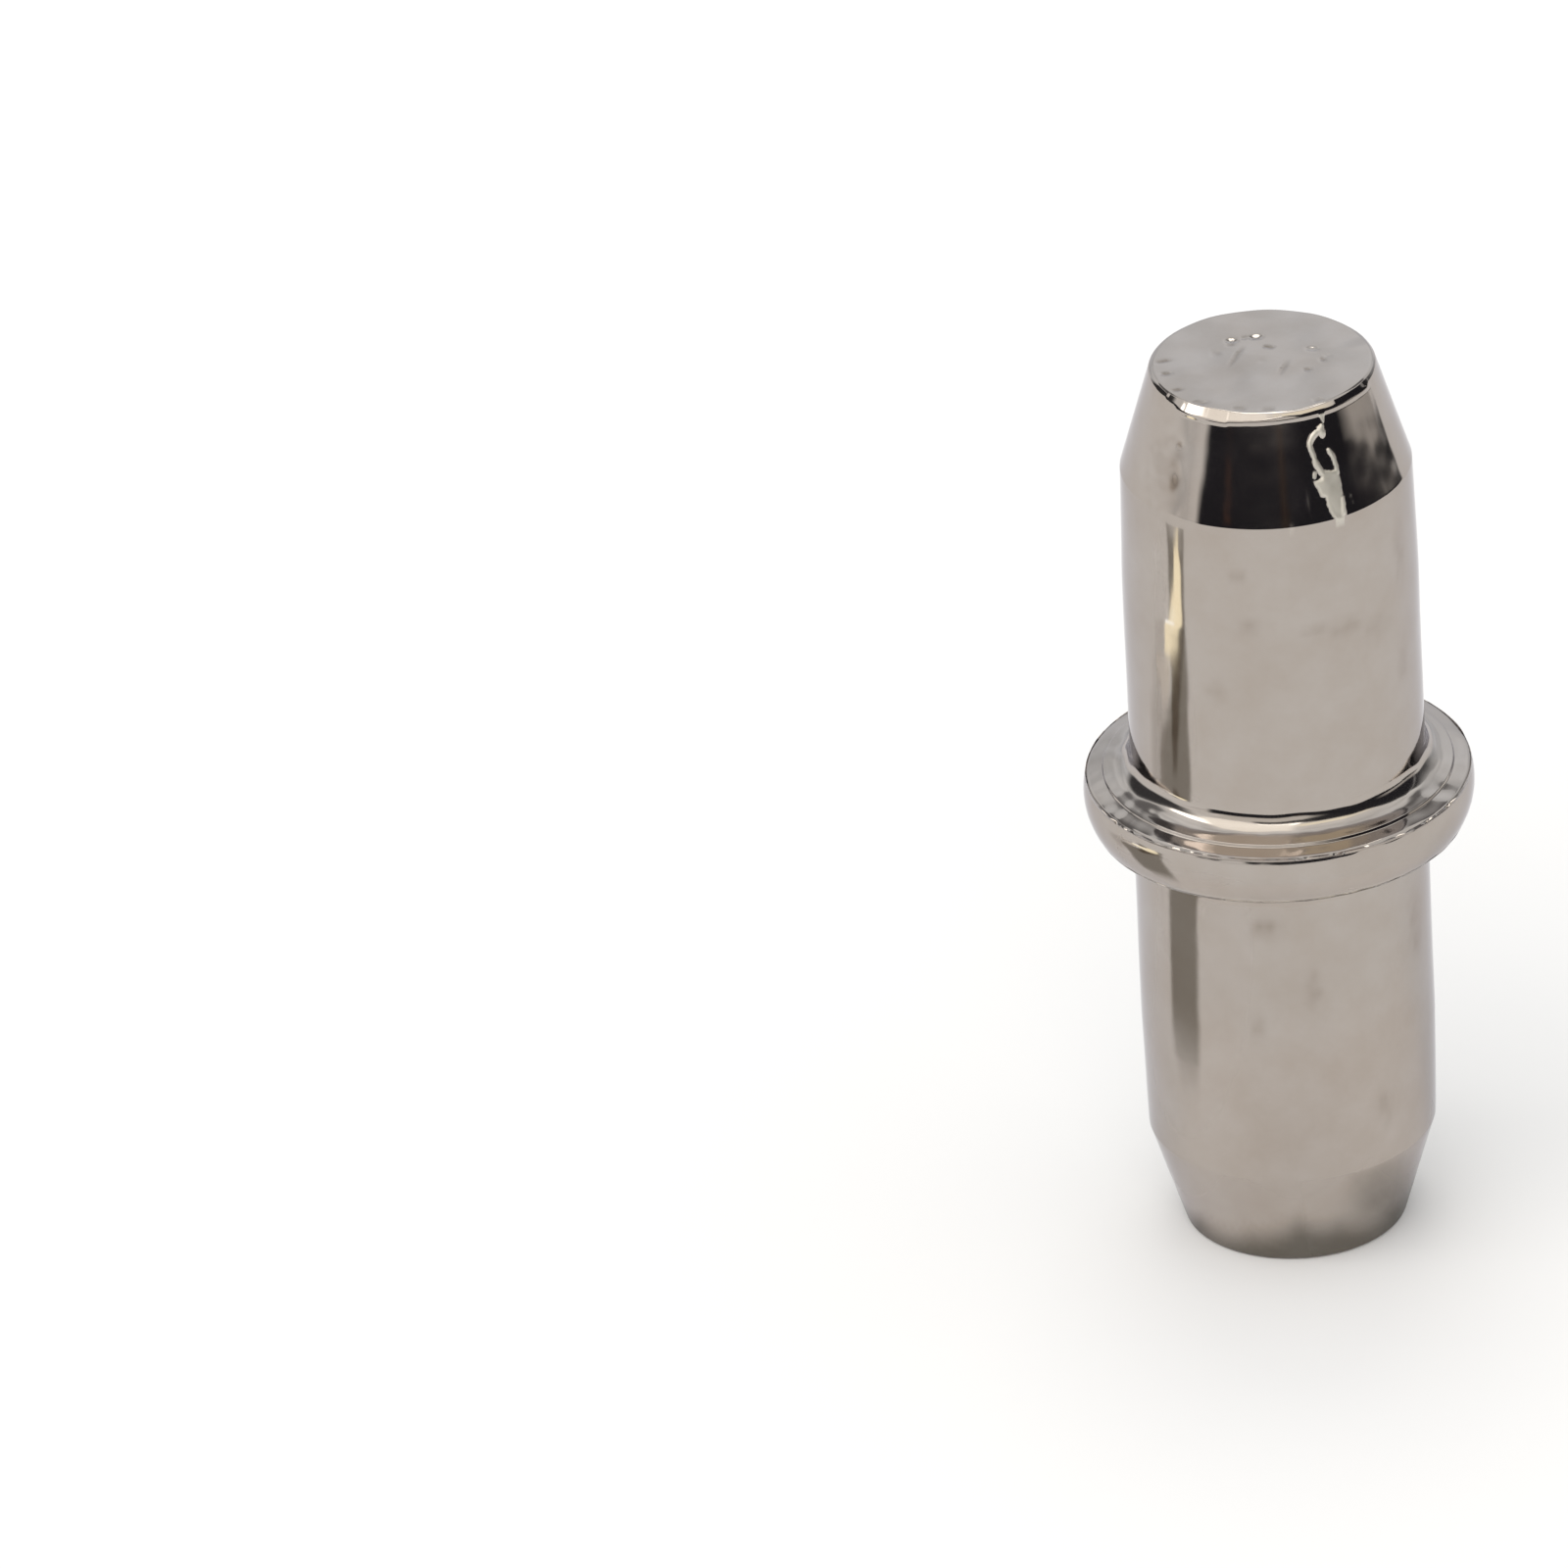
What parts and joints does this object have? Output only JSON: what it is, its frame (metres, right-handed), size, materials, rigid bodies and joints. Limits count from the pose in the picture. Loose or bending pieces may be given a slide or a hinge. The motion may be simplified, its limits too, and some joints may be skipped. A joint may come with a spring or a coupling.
{
  "type": "shelf support pin",
  "caption": "Round steel dowel with coned ends and a collar round its middle, which carries a shelf or joins two panels through drilled holes.",
  "frame": {"origin": "centre of the lower end face, on the pin's axis", "axes": "+Z along the pin's axis from the lower end to the upper end; X and Y are any two directions across it"},
  "size_m": [0.0064, 0.0064, 0.016],
  "materials": {
    "nickel_plate": "polished"
  },
  "bodies": {
    "root": {"shelf_pin": "nickel_plate"}
  },
  "joints": []
}
